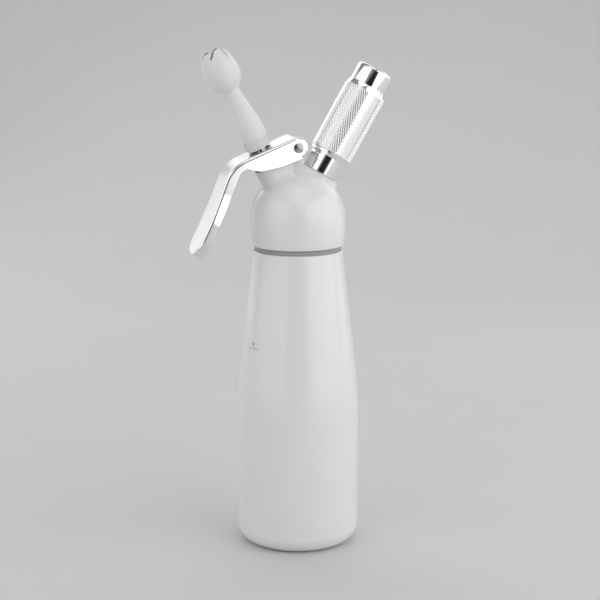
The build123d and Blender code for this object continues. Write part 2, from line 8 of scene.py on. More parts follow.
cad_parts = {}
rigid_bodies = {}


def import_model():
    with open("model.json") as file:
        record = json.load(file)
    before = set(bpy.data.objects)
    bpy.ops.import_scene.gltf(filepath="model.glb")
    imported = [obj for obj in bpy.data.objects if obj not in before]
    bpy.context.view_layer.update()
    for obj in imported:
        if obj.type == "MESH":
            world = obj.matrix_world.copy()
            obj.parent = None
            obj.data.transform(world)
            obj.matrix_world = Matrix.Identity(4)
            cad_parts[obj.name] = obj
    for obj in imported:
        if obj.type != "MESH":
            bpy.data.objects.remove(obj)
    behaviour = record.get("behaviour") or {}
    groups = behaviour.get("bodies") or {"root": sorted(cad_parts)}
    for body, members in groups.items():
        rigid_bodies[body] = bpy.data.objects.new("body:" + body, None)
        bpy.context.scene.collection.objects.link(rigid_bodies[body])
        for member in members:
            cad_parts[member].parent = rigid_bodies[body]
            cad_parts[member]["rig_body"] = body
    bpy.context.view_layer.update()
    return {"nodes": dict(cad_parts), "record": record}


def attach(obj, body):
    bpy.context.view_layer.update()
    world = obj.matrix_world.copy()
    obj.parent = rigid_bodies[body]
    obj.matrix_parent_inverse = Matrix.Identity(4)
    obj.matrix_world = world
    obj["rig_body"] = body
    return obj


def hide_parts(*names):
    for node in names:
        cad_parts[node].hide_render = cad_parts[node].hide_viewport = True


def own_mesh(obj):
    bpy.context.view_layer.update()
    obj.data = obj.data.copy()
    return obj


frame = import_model()
nodes = frame["nodes"]

# ---------------------------------------------------------------- bottle
# The bottle is drawn from one aluminium slug, necked in over a mandrel and dished underneath.
# It is lacquered white up to the shoulder. A rolled thread on the bare neck carries the head.
MM = 0.001
UPRIGHT = Matrix.Identity(4)
slot_of = {part["node"]: part["material_slot"] for part in frame["record"]["subparts"]}


def rounded(corners, fineness=radians(5)):
    """Outline through corners given as (radius, along) or (radius, along, rounding), with true arcs."""
    points = []
    for i, corner in enumerate(corners):
        here = Vector(corner[:2])
        if len(corner) < 3 or i in (0, len(corners) - 1):
            points.append(here)
            continue
        before = (Vector(corners[i - 1][:2]) - here).normalized()
        after = (Vector(corners[i + 1][:2]) - here).normalized()
        turn = pi - before.angle(after)
        reach = corner[2] * tan(turn / 2)
        start, end = here + before * reach, here + after * reach
        centre = here + (before + after).normalized() * (corner[2] / cos(turn / 2))
        first = atan2(start.y - centre.y, start.x - centre.x)
        sweep = (atan2(end.y - centre.y, end.x - centre.x) - first + pi) % (2 * pi) - pi
        steps = max(3, round(abs(sweep) / fineness))
        for step in range(steps + 1):
            angle = first + sweep * step / steps
            points.append(centre + Vector((cos(angle), sin(angle))) * corner[2])
    return points


def spun(bm, outline, steps=128, closed=True):
    """Spins an outline in millimetres round Z into bm, and returns its faces."""
    old_faces = set(bm.faces)
    verts = [bm.verts.new((point[0] * MM, 0, point[1] * MM)) for point in outline]
    pairs = list(zip(verts, verts[1:])) + ([(verts[-1], verts[0])] if closed else [])
    edges = [bm.edges.new(pair) for pair in pairs]
    bmesh.ops.spin(
        bm, geom=verts + edges, cent=(0, 0, 0), axis=(0, 0, 1), angle=2 * pi, steps=steps, use_merge=True
    )
    return [face for face in bm.faces if face not in old_faces]


def helical_ridge(bm, root, crest, pitch, turns, foot, flank=0.2, steps_a_turn=64):
    """Winds a thread ridge round Z into bm. Radii, pitch and foot are in millimetres."""
    half = pitch * flank
    profile = [(root, -half), (crest, -half * 0.35), (crest, half * 0.35), (root, half)]
    verts = [bm.verts.new((radius * MM, 0, (foot + along) * MM)) for radius, along in profile]
    face = bm.faces.new(verts)
    steps = round(turns * steps_a_turn)
    bmesh.ops.spin(
        bm,
        geom=[face, *face.edges, *face.verts],
        cent=(0, 0, 0),
        axis=(0, 0, 1),
        dvec=(0, 0, pitch * turns * MM / steps),
        angle=2 * pi * turns,
        steps=steps,
        use_duplicate=False,
    )


def piece(name, bm, place=UPRIGHT, sharp=radians(32)):
    """Finishes a mesh: welded, faces outwards, set in place and smooth between its sharp edges."""
    bmesh.ops.remove_doubles(bm, verts=bm.verts, dist=1e-6)
    bmesh.ops.recalc_face_normals(bm, faces=bm.faces)
    bmesh.ops.transform(bm, matrix=place, verts=bm.verts)
    for face in bm.faces:
        face.smooth = True
    mesh = bpy.data.meshes.new(name)
    bm.to_mesh(mesh)
    bm.free()
    mesh.set_sharp_from_angle(angle=sharp)
    made = bpy.data.objects.new(name, mesh)
    bpy.context.scene.collection.objects.link(made)
    return made


def dress(made, material, *stood_for, body=None, slot=None):
    """Gives a piece its material, the body it moves with and the nodes it stands for. The slot argument is
    not used.
    """
    made.data.materials.clear()
    made.data.materials.append(material)
    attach(made, body or nodes[stood_for[0]]["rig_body"])
    if stood_for:
        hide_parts(*stood_for)
    return made


def surface_effect(name, inputs, outputs):
    """An empty shader node group with its sockets. Inputs are (name, kind, default), outputs (name, kind)."""
    group = bpy.data.node_groups.new(name, "ShaderNodeTree")
    for label, kind, default in inputs:
        group.interface.new_socket(label, in_out="INPUT", socket_type=kind).default_value = default
    for label, kind in outputs:
        group.interface.new_socket(label, in_out="OUTPUT", socket_type=kind)
    return group, group.nodes.new("NodeGroupInput"), group.nodes.new("NodeGroupOutput")


def wired(tree, kind, links=(), **settings):
    """Adds a node to a tree, sets its properties and inputs, and links outputs to its named inputs."""
    node = tree.nodes.new(kind)
    for label, value in settings.items():
        if hasattr(node, label):
            setattr(node, label, value)
        else:
            node.inputs[label.replace("_", " ").title()].default_value = value
    for source, target in links:
        tree.links.new(source, node.inputs[target])
    return node


# Slow change of tone and sheen over a surface, as handling and cleaning leave it
mottle, mottle_in, mottle_out = surface_effect(
    "mottle",
    [
        ("Tone", "NodeSocketColor", (0.8, 0.8, 0.8, 1)),
        ("Other Tone", "NodeSocketColor", (0.7, 0.7, 0.7, 1)),
        ("Smoothest", "NodeSocketFloat", 0.2),
        ("Roughest", "NodeSocketFloat", 0.4),
        ("Scale", "NodeSocketFloat", 40.0),
    ],
    [("Color", "NodeSocketColor"), ("Roughness", "NodeSocketFloat")],
)
place = mottle.nodes.new("ShaderNodeTexCoord")
patches = wired(
    mottle,
    "ShaderNodeTexNoise",
    [(place.outputs["Object"], "Vector"), (mottle_in.outputs["Scale"], "Scale")],
    detail=4.0,
)
tone = wired(mottle, "ShaderNodeMix", data_type="RGBA")
mottle.links.new(patches.outputs["Fac"], tone.inputs["Factor"])
mottle.links.new(mottle_in.outputs["Tone"], tone.inputs[6])
mottle.links.new(mottle_in.outputs["Other Tone"], tone.inputs[7])
sheen = wired(
    mottle,
    "ShaderNodeMapRange",
    [
        (patches.outputs["Fac"], "Value"),
        (mottle_in.outputs["Smoothest"], "To Min"),
        (mottle_in.outputs["Roughest"], "To Max"),
    ],
    from_min=0.15,
    from_max=0.85,
)
mottle.links.new(tone.outputs[2], mottle_out.inputs["Color"])
mottle.links.new(sheen.outputs["Result"], mottle_out.inputs["Roughness"])

# Fine unevenness of a sprayed, cast or moulded skin
skin, skin_in, skin_out = surface_effect(
    "sprayed_skin",
    [("Scale", "NodeSocketFloat", 900.0), ("Height", "NodeSocketFloat", 0.00001)],
    [("Normal", "NodeSocketVector")],
)
place = skin.nodes.new("ShaderNodeTexCoord")
grain = wired(
    skin,
    "ShaderNodeTexNoise",
    [(place.outputs["Object"], "Vector"), (skin_in.outputs["Scale"], "Scale")],
    detail=2.0,
)
relief = wired(
    skin, "ShaderNodeBump", [(grain.outputs["Fac"], "Height"), (skin_in.outputs["Height"], "Distance")]
)
skin.links.new(relief.outputs["Normal"], skin_out.inputs["Normal"])


def finish(name, tone, other_tone, smoothest, roughest, patch_scale, **constants):
    """A material whose colour and sheen change slowly. Constants go on the shader's own sockets."""
    material = bpy.data.materials.new(name)
    material.use_nodes = True
    tree = material.node_tree
    shader = tree.nodes["Principled BSDF"]
    for label, value in constants.items():
        shader.inputs[label.replace("_", " ").title()].default_value = value
    change = wired(tree, "ShaderNodeGroup", node_tree=mottle)
    for label, value in (
        ("Tone", (*tone, 1)),
        ("Other Tone", (*other_tone, 1)),
        ("Smoothest", smoothest),
        ("Roughest", roughest),
        ("Scale", patch_scale),
    ):
        change.inputs[label].default_value = value
    tree.links.new(change.outputs["Color"], shader.inputs["Base Color"])
    tree.links.new(change.outputs["Roughness"], shader.inputs["Roughness"])
    return material


def uneven(material, scale, height):
    """Gives a material the fine unevenness of its skin."""
    tree = material.node_tree
    bumps = wired(tree, "ShaderNodeGroup", node_tree=skin)
    bumps.inputs["Scale"].default_value = scale
    bumps.inputs["Height"].default_value = height
    tree.links.new(bumps.outputs["Normal"], tree.nodes["Principled BSDF"].inputs["Normal"])
    return material


def white_lacquer(name):
    """Sprayed white lacquer under a thin clear coat."""
    white, other_white = (0.82, 0.82, 0.815), (0.8, 0.8, 0.8)
    lacquer = finish(name, white, other_white, 0.26, 0.34, 25, coat_weight=0.6, coat_roughness=0.08)
    return uneven(lacquer, 700, 0.000012)


base_radius = 40
base_rounding = 11
taper_foot = 97
taper_rounding = 218
shoulder_height = 195.2
shoulder_radius = 29.2
neck_radius = 26
mouth_radius = 24
lip_height = 214
bottle_wall = 1.5
foot_ring = 24.5
dish_depth = 0.8
bottle_outline = rounded(
    [
        (0, dish_depth),
        (foot_ring / 2, dish_depth * 0.75),
        (foot_ring, 0),
        (base_radius, 0, base_rounding),
        (base_radius, taper_foot, taper_rounding),
        (shoulder_radius, shoulder_height, 1),
        (neck_radius, shoulder_height),
        (neck_radius, lip_height, 0.8),
        (mouth_radius, lip_height, 0.8),
        (mouth_radius, shoulder_height, 2),
        (shoulder_radius - bottle_wall, shoulder_height - 4, 2),
        (base_radius - bottle_wall, taper_foot, taper_rounding - bottle_wall),
        (base_radius - bottle_wall, dish_depth + bottle_wall, base_rounding - bottle_wall),
        (0, dish_depth + bottle_wall),
    ],
    fineness=radians(4),
)
thread_pitch = 3.2
thread_turns = 3.2
thread_foot = 201.5
bm = bmesh.new()
helical_ridge(bm, neck_radius - 0.2, neck_radius + 0.85, thread_pitch, thread_turns, thread_foot)
spun(bm, bottle_outline, steps=160, closed=False)

# The lacquer stops at the shoulder, and above it the aluminium is bare
bottle_lacquer = white_lacquer("bottle_lacquer")
tree = bottle_lacquer.node_tree
shader = tree.nodes["Principled BSDF"]
painted = shader.inputs["Base Color"].links[0].from_socket
height = wired(tree, "ShaderNodeSeparateXYZ", [(tree.nodes.new("ShaderNodeTexCoord").outputs["Object"], 0)])
bare = wired(tree, "ShaderNodeMath", [(height.outputs["Z"], 0)], operation="GREATER_THAN")
bare.inputs[1].default_value = (shoulder_height + 0.2) * MM
metal_or_paint = wired(tree, "ShaderNodeMix", [(bare.outputs[0], 0), (painted, 6)], data_type="RGBA")
metal_or_paint.inputs[7].default_value = (0.82, 0.82, 0.83, 1)
tree.links.new(metal_or_paint.outputs[2], shader.inputs["Base Color"])
tree.links.new(bare.outputs[0], shader.inputs["Metallic"])
dress(piece("bottle_shell", bm), bottle_lacquer, "bottle")

# ---------------------------------------------------------------- level mark
# A filling mark is printed on the lacquer in grey ink: a small triangle that points down to a short line.
# It is pad-printed and follows the bottle's taper.
mark_height = 134.0
mark_bearing = radians(-157)
ink_thickness = 0.03
bm = bmesh.new()
line = bmesh.ops.create_grid(bm, x_segments=8, y_segments=1, size=0.5)["verts"]
bmesh.ops.scale(bm, vec=(9.5, 0.6, 1), verts=line)
triangle = bmesh.ops.create_circle(bm, cap_ends=True, segments=3, radius=2.0)["verts"]
bmesh.ops.rotate(bm, matrix=Matrix.Rotation(radians(180), 3, "Z"), verts=triangle)
bmesh.ops.translate(bm, vec=(0, 3.0, 0), verts=triangle)
for vert in bm.verts:
    up = mark_height + vert.co.y
    taper = (up - taper_foot) / (shoulder_height - taper_foot)
    radius = base_radius - taper * (base_radius - shoulder_radius) + ink_thickness
    bearing = mark_bearing + vert.co.x / radius
    vert.co = Vector((radius * cos(bearing), radius * sin(bearing), up)) * MM
bmesh.ops.solidify(bm, geom=bm.faces[:], thickness=ink_thickness / 2 * MM)
grey_ink = uneven(finish("grey_ink", (0.42, 0.42, 0.43), (0.46, 0.46, 0.47), 0.45, 0.6, 400), 3000, 0.000004)
dress(piece("level_mark", bm), grey_ink, body="bottle", slot=slot_of["bottle"])

# ---------------------------------------------------------------- neck band
# A ring of grey silicone is stretched over the neck and sits on the shoulder.
# It is moulded with rounded edges, so that it rolls over the thread.
band_foot = shoulder_height
band_top = band_foot + 3
band_radius = 28.2
bm = bmesh.new()
spun(
    bm,
    rounded(
        [
            (neck_radius, band_foot + 1),
            (neck_radius, band_foot),
            (band_radius, band_foot, 0.5),
            (band_radius, band_top, 0.9),
            (neck_radius, band_top),
        ]
    ),
)
silicone = uneven(
    finish("grey_silicone", (0.37, 0.37, 0.375), (0.33, 0.33, 0.335), 0.36, 0.46, 60), 1500, 0.00001
)
dress(piece("silicone_band", bm), silicone, "neck_band")

# ---------------------------------------------------------------- head
# The head is one aluminium casting: the dome, the neck with the valve boss and the lever's lug, and the
# charger boss. It is shot-blasted and lacquered like the bottle, and a thread is cut in its skirt.
EVEN = radians(0.1)


def copied(node, bm=None, axis=UPRIGHT):
    """Adds a solid's own surface to a bmesh in an axis's frame, welded, its flat faces made whole."""
    bm = bm or bmesh.new()
    older = set(bm.verts)
    bm.from_mesh(nodes[node].data)
    own = [vert for vert in bm.verts if vert not in older]
    bmesh.ops.transform(bm, matrix=axis.inverted(), verts=own)
    bmesh.ops.remove_doubles(bm, verts=own, dist=2e-6)
    own = [vert for vert in bm.verts if vert not in older]
    own_edges = list(dict.fromkeys(edge for vert in own for edge in vert.link_edges))
    bmesh.ops.dissolve_limit(bm, angle_limit=EVEN, verts=own, edges=own_edges)
    return bm


def evenly_shaded(made):
    """Shades a copied surface by its larger faces, so that its flats stay flat."""
    shading = made.modifiers.new("even_shading", "WEIGHTED_NORMAL")
    shading.keep_sharp = True
    return made


def cut_away(bm, faces, point, outwards):
    """Cuts away what some faces have beyond a plane, and closes the cut."""
    geom = list(dict.fromkeys(part for face in faces for part in (face, *face.edges, *face.verts)))
    cut = bmesh.ops.bisect_plane(
        bm, geom=geom, dist=1e-7, plane_co=point, plane_no=outwards, clear_outer=True
    )
    rim = [item for item in cut["geom_cut"] if isinstance(item, bmesh.types.BMEdge)]
    bmesh.ops.holes_fill(bm, edges=rim, sides=0)


skirt_bore = 27.4
bm = bmesh.new()
helical_ridge(bm, skirt_bore, skirt_bore - 0.48, thread_pitch, thread_turns, thread_foot + thread_pitch / 2)
copied("head", bm)
head_lacquer = white_lacquer("head_lacquer")
dress(evenly_shaded(piece("head_casting", bm)), head_lacquer, "head")

# On either side a fairing carries the neck's flank smoothly over to the charger boss
HOLDER_AXIS = Matrix.Translation((0, 0, 219.4 * MM)) @ Matrix.Rotation(radians(30), 4, "Y")
holder_line = HOLDER_AXIS.to_3x3() @ Vector((0, 0, 1))
boss_radius = 13.81
boss_foot = 12
boss_rim = 28.38
neck_half_width = 9.71
neck_middle = Vector((-2.2, 0, 245)) * MM
neck_lean = 0.9
fairing_inside = 8.3
for side, hand in (("near", -1), ("far", 1)):
    bm = bmesh.new()
    for along in (boss_foot, boss_rim):
        ring = bmesh.ops.create_circle(bm, segments=96, radius=boss_radius * MM)["verts"]
        bmesh.ops.transform(bm, matrix=HOLDER_AXIS @ Matrix.Translation((0, 0, along * MM)), verts=ring)
    block = bmesh.ops.create_cube(bm, size=MM)["verts"]
    bmesh.ops.scale(bm, vec=(6, 2 * neck_half_width, 18), verts=block)
    bmesh.ops.translate(bm, vec=neck_middle, verts=block)
    upper_back = [vert for vert in block if vert.co.x > neck_middle.x and vert.co.z > neck_middle.z]
    bmesh.ops.translate(bm, vec=(neck_lean * MM, 0, 0), verts=upper_back)
    bmesh.ops.delete(bm, geom=bm.edges[:], context="EDGES_FACES")
    hull = bmesh.ops.convex_hull(bm, input=bm.verts)
    left_over = {
        item for item in hull["geom_interior"] + hull["geom_unused"] if isinstance(item, bmesh.types.BMVert)
    }
    bmesh.ops.delete(bm, geom=list(left_over), context="VERTS")
    cut_away(bm, bm.faces, HOLDER_AXIS @ Vector((0, 0, (boss_rim - 0.02) * MM)), holder_line)
    cut_away(bm, bm.faces, Vector((0, hand * fairing_inside * MM, 0)), Vector((0, -hand, 0)))
    made = evenly_shaded(piece("boss_fairing_" + side, bm, sharp=radians(50)))
    dress(made, head_lacquer, body="head", slot=slot_of["head"])

# ---------------------------------------------------------------- seals
# The gasket, the nozzle's seal and the seals of the valve and the charger are rings punched or moulded
# from silicone and rubber. They are pressed into their seats.
rubber = uneven(
    finish("black_rubber", (0.025, 0.025, 0.025), (0.035, 0.035, 0.035), 0.5, 0.65, 80), 2000, 0.00001
)
for node, material in (
    ("head_gasket", silicone),
    ("nozzle_seal", silicone),
    ("stem_o_ring", rubber),
    ("valve_seal", rubber),
    ("charger_seal", rubber),
):
    dress(piece(node + "_ring", copied(node)), material, node)

# ---------------------------------------------------------------- valve
# A turned stem slides in a plastic bush. Pushing it down opens its seal inside the head, and a coiled
# spring lifts it again.
VALVE_AXIS = Matrix.Translation((0, 0, 212.6 * MM)) @ Matrix.Rotation(radians(-27), 4, "Y")

# Rings that a cutting tool leaves round a turned piece
rings, rings_in, rings_out = surface_effect(
    "turned_rings",
    [("Vector", "NodeSocketVector", (0, 0, 0)), ("Height", "NodeSocketFloat", 0.000004)],
    [("Normal", "NodeSocketVector")],
)
split = wired(rings, "ShaderNodeSeparateXYZ", [(rings_in.outputs["Vector"], 0)])
flat = wired(rings, "ShaderNodeCombineXYZ", [(split.outputs["X"], 0), (split.outputs["Y"], 1)])
radius = wired(rings, "ShaderNodeVectorMath", [(flat.outputs[0], 0)], operation="LENGTH")
section = wired(rings, "ShaderNodeCombineXYZ", [(radius.outputs["Value"], 0), (split.outputs["Z"], 2)])
lines = wired(rings, "ShaderNodeTexNoise", [(section.outputs[0], "Vector")], scale=5000.0, detail=1.0)
relief = wired(
    rings, "ShaderNodeBump", [(lines.outputs["Fac"], "Height"), (rings_in.outputs["Height"], "Distance")]
)
rings.links.new(relief.outputs["Normal"], rings_out.inputs["Normal"])


def turned(material, axis, height):
    """Gives a material the rings of a piece turned round an axis."""
    tree = material.node_tree
    place = tree.nodes.new("ShaderNodeTexCoord")
    centred = wired(tree, "ShaderNodeMapping", [(place.outputs["Object"], "Vector")], vector_type="TEXTURE")
    centred.inputs["Location"].default_value = axis.translation
    centred.inputs["Rotation"].default_value = axis.to_euler()
    marks = wired(tree, "ShaderNodeGroup", [(centred.outputs["Vector"], "Vector")], node_tree=rings)
    marks.inputs["Height"].default_value = height
    tree.links.new(marks.outputs["Normal"], tree.nodes["Principled BSDF"].inputs["Normal"])
    return material


def turned_steel(name, axis):
    return turned(
        finish(name, (0.63, 0.62, 0.61), (0.57, 0.56, 0.56), 0.16, 0.28, 90, metallic=1.0), axis, 0.000002
    )


def nickel_plated(name, axis):
    return turned(
        finish(name, (0.66, 0.63, 0.57), (0.58, 0.55, 0.49), 0.16, 0.28, 110, metallic=1.0), axis, 0.000002
    )


def coil_spring(bm, radius, wire, foot, top, turns):
    """Winds a spring round Z with a closed coil at each end, in millimetres."""
    section = bmesh.ops.create_circle(bm, cap_ends=True, segments=10, radius=wire / 2 * MM)["verts"]
    start = Matrix.Translation((radius * MM, 0, (foot + wire / 2) * MM))
    bmesh.ops.transform(bm, matrix=start @ Matrix.Rotation(radians(90), 4, "X"), verts=section)
    face = section[0].link_faces[0]
    geom = [face, *face.edges, *face.verts]
    for coils, rise in ((1, wire), (turns, top - foot - 3 * wire), (1, wire)):
        steps = 36 * coils
        geom = bmesh.ops.spin(
            bm,
            geom=geom,
            cent=(0, 0, 0),
            axis=(0, 0, 1),
            dvec=(0, 0, rise * MM / steps),
            angle=2 * pi * coils,
            steps=steps,
            use_duplicate=False,
        )["geom_last"]


stem_steel = turned_steel("stem_steel", VALVE_AXIS)
for node in ("valve_stem", "seal_nut", "spring_washer"):
    dress(evenly_shaded(piece(node + "_turned", copied(node))), stem_steel, node)

nylon = uneven(finish("natural_nylon", (0.74, 0.72, 0.66), (0.7, 0.68, 0.62), 0.4, 0.5, 90), 1200, 0.000008)
dress(evenly_shaded(piece("guide_bush_moulding", copied("guide_bush"))), nylon, "guide_bush")

valve_spring_foot = 33.8
bm = bmesh.new()
coil_spring(bm, radius=5.55, wire=0.9, foot=valve_spring_foot, top=48.5, turns=5)
valve_coil = piece("valve_spring_coil", bm, VALVE_AXIS)
spring_steel = uneven(
    finish("spring_steel", (0.5, 0.5, 0.5), (0.42, 0.42, 0.43), 0.22, 0.32, 200, metallic=1.0), 4000, 0.000002
)
dress(valve_coil, spring_steel, "valve_spring")
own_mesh(valve_coil)

# ---------------------------------------------------------------- lever
# The lever is one thin-walled aluminium casting: a plate with a slot for the stem, a cheek on either side of
# the lug, and a curved handle that is open on its inner side. It is polished all over.
polished_aluminium = uneven(
    finish("polished_aluminium", (0.93, 0.93, 0.935), (0.89, 0.89, 0.9), 0.12, 0.18, 60, metallic=1.0),
    500,
    0.000004,
)
dress(evenly_shaded(piece("lever_casting", copied("lever"))), polished_aluminium, "lever")

# ---------------------------------------------------------------- pivot
# A slotted screw with a nut on its far end goes through both cheeks and a plated bush in the lug.
# Thin nylon washers keep the cheeks off the casting.
PIVOT_AXIS = Matrix.Translation((-2.85 * MM, 0, 262.0 * MM)) @ Matrix.Rotation(radians(90), 4, "X")
screw_end = -15
screw_radius = 2.2
screw_head_radius = 3.0
head_seat = 12.5
slot_floor = 13.25
slot_half_width = 0.45
slot_angle = Matrix.Rotation(radians(15), 4, "Z")
bm = bmesh.new()
spun(
    bm,
    rounded(
        [
            (0, screw_end),
            (screw_radius, screw_end, 0.5),
            (screw_radius, head_seat),
            (screw_head_radius, head_seat, 0.2),
            (screw_head_radius, slot_floor),
            (0, slot_floor),
        ]
    ),
    steps=48,
    closed=False,
)

# The two halves of the domed head on either side of the slot, sunk a little into the disc below
for hand in (1, -1):
    half_head = spun(
        bm,
        rounded(
            [
                (0, slot_floor - 0.1),
                (screw_head_radius - 0.1, slot_floor - 0.1),
                (screw_head_radius, slot_floor + 0.02),
                (screw_head_radius, slot_floor + 0.35, 0.25),
                (0, slot_floor + 0.95, 4),
            ]
        ),
        steps=48,
        closed=False,
    )
    cut_away(bm, half_head, (hand * slot_half_width * MM, 0, 0), (-hand, 0, 0))
# Painted shade: the screw's and nut's steel is toned much darker than the other turned steel, standing in for
# the shade of the screw's recess in the cheek
pivot_steel_painted_shade = turned(
    finish("pivot_steel_painted_shade", (0.42, 0.41, 0.41), (0.34, 0.34, 0.34), 0.14, 0.24, 300, metallic=1.0),
    PIVOT_AXIS,
    0.000002,
)
dress(piece("pivot_screw_steel", bm, PIVOT_AXIS @ slot_angle), pivot_steel_painted_shade, "pivot_screw")
dress(evenly_shaded(piece("pivot_nut_steel", copied("pivot_nut"))), pivot_steel_painted_shade, "pivot_nut")
bush_nickel = nickel_plated("bush_nickel", PIVOT_AXIS)
dress(evenly_shaded(piece("pivot_bush_turned", copied("pivot_bush"))), bush_nickel, "pivot_bush")
for node in ("pivot_washer_near", "pivot_washer_far"):
    dress(evenly_shaded(piece(node + "_disc", copied(node))), nylon, node)

# ---------------------------------------------------------------- nozzle
# A nickel-plated adapter is screwed on the stem, and the tulip nozzle screws on it with a seal between.
# The nozzle is moulded in white plastic, with fine grip ribs round its foot and pointed tines at its rim.
adapter_foot = 57.0
adapter_top = 67.5
adapter_radius = 7
stem_radius = 4
stem_top = 67
outlet_radius = 2.4
fine_pitch = 1.6
bm = bmesh.new()
helical_ridge(bm, adapter_radius - 0.1, adapter_radius + 0.15, fine_pitch, 4.5, adapter_foot + 1.6)
spun(
    bm,
    rounded(
        [
            (stem_radius, adapter_foot + 1),
            (stem_radius, adapter_foot),
            (adapter_radius, adapter_foot, 0.4),
            (adapter_radius, adapter_top, 0.6),
            (outlet_radius, adapter_top, 0.3),
            (outlet_radius, stem_top),
            (stem_radius, stem_top),
        ]
    ),
    steps=64,
)
dress(piece("adapter_turned", bm, VALVE_AXIS), nickel_plated("adapter_nickel", VALVE_AXIS), "nozzle_adapter")

nozzle_foot = 55.5
ribbed_height = 6.6
rib_count = 48
tine_pitch = radians(60)
tine_turn = radians(23)
bm = bmesh.new()
helical_ridge(bm, adapter_radius + 0.5, adapter_radius + 0.2, fine_pitch, 4.5, adapter_foot + 2.4)
rib = bmesh.ops.create_cube(bm, size=MM)["verts"]
bmesh.ops.scale(bm, vec=(0.7, 0.55, ribbed_height - 0.6), verts=rib)
bmesh.ops.translate(bm, vec=(8.2 * MM, 0, (nozzle_foot + ribbed_height / 2) * MM), verts=rib)
rib_faces = {face for vert in rib for face in vert.link_faces}
rib_edges = {edge for vert in rib for edge in vert.link_edges}
bmesh.ops.spin(
    bm,
    geom=[*rib, *rib_edges, *rib_faces],
    cent=(0, 0, 0),
    axis=(0, 0, 1),
    angle=2 * pi * (rib_count - 1) / rib_count,
    steps=rib_count - 1,
    use_duplicate=True,
)
copied("tulip_nozzle", bm, VALVE_AXIS)

# The notches between the tines are cut wider, on the same centres and to the same depth
notch_foot = nozzle_foot + 58.6
notch_length = 9.2
plain_notch = 2.3
wide_notch = 3.0
middle = tine_pitch / 2
for vert in bm.verts:
    share = (vert.co.z / MM - notch_foot) / notch_length
    if share > 0:
        radius = vert.co.xy.length / MM
        bearing = atan2(vert.co.y, vert.co.x)
        centre = round((bearing - tine_turn) / tine_pitch) * tine_pitch + tine_turn
        off = bearing - centre
        before, after = (asin(min(1, half * share / radius)) for half in (plain_notch, wide_notch))
        if abs(off) >= before - 0.001:
            moved = middle - (middle - abs(off)) * (middle - after) / (middle - before)
            bearing = centre + (moved if off > 0 else -moved)
            vert.co.x, vert.co.y = radius * MM * cos(bearing), radius * MM * sin(bearing)
white_plastic = uneven(
    finish("white_polypropylene", (0.8, 0.8, 0.79), (0.77, 0.77, 0.765), 0.38, 0.46, 50), 1200, 0.000008
)
dress(evenly_shaded(piece("tulip_moulding", bm, VALVE_AXIS)), white_plastic, "tulip_nozzle")

# ---------------------------------------------------------------- gas inlet
# A nickel-plated brass spigot is screwed into the charger boss. It holds the filter, the carrier with the
# piercing pin and the seal, and on the inner side a ball check valve with its spring and plug.
inlet_pitch = 1.5
inlet_turns = 7
inlet_thread_foot = 30.2
inlet_nickel = nickel_plated("inlet_nickel", HOLDER_AXIS)
bm = bmesh.new()
helical_ridge(bm, 10.2, 10.6, inlet_pitch, inlet_turns, inlet_thread_foot)
copied("inlet_spigot", bm, HOLDER_AXIS)
dress(evenly_shaded(piece("inlet_spigot_turned", bm, HOLDER_AXIS)), inlet_nickel, "inlet_spigot")
for node in ("pin_carrier", "check_plug"):
    dress(evenly_shaded(piece(node + "_turned", copied(node))), inlet_nickel, node)
pin_steel = turned_steel("pin_steel", HOLDER_AXIS)
dress(evenly_shaded(piece("piercing_pin_ground", copied("piercing_pin"))), pin_steel, "piercing_pin")
sintered = uneven(
    finish("sintered_bronze", (0.5, 0.34, 0.2), (0.38, 0.25, 0.15), 0.55, 0.75, 900, metallic=1.0),
    4000,
    0.00006,
)
dress(evenly_shaded(piece("inlet_filter_disc", copied("inlet_filter"))), sintered, "inlet_filter")
dress(piece("check_ball_lapped", copied("check_ball")), spring_steel, "check_ball")

check_spring_foot = 16.9
bm = bmesh.new()
coil_spring(bm, radius=1.6, wire=0.3, foot=check_spring_foot, top=20.9, turns=3)
check_coil = piece("check_spring_coil", bm, HOLDER_AXIS)
dress(check_coil, spring_steel, "check_spring")
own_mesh(check_coil)

# ---------------------------------------------------------------- charger
# A standard gas bulb, deep-drawn from steel, necked and zinc-plated. Its mouth is closed by a thin disc
# that the pin pierces.
charger_foot = 34.02
charger_top = 99.5
charger_radius = 9
charger_neck = 3.9
charger_mouth = 1.3
charger_wall = 1.3
neck_end = charger_foot + 8.5
bulb_foot = charger_foot + 17.5
inside_radius = charger_radius - charger_wall
bm = bmesh.new()
for outline in (
    [
        (charger_mouth, charger_foot),
        (charger_neck, charger_foot, 0.4),
        (charger_neck, neck_end, 3),
        (charger_radius, bulb_foot, 7),
        (charger_radius, charger_top, 6),
        (0, charger_top),
    ],
    [
        (charger_mouth, charger_foot),
        (charger_mouth, neck_end, 3),
        (inside_radius, bulb_foot, 7),
        (inside_radius, charger_top - charger_wall, 6 - charger_wall),
        (0, charger_top - charger_wall),
    ],
):
    spun(bm, rounded(outline), steps=96, closed=False)
zinc = uneven(
    finish("zinc_plate", (0.7, 0.71, 0.73), (0.62, 0.63, 0.65), 0.2, 0.32, 120, metallic=1.0), 1500, 0.000004
)
dress(piece("charger_bulb", bm, HOLDER_AXIS), zinc, "charger")

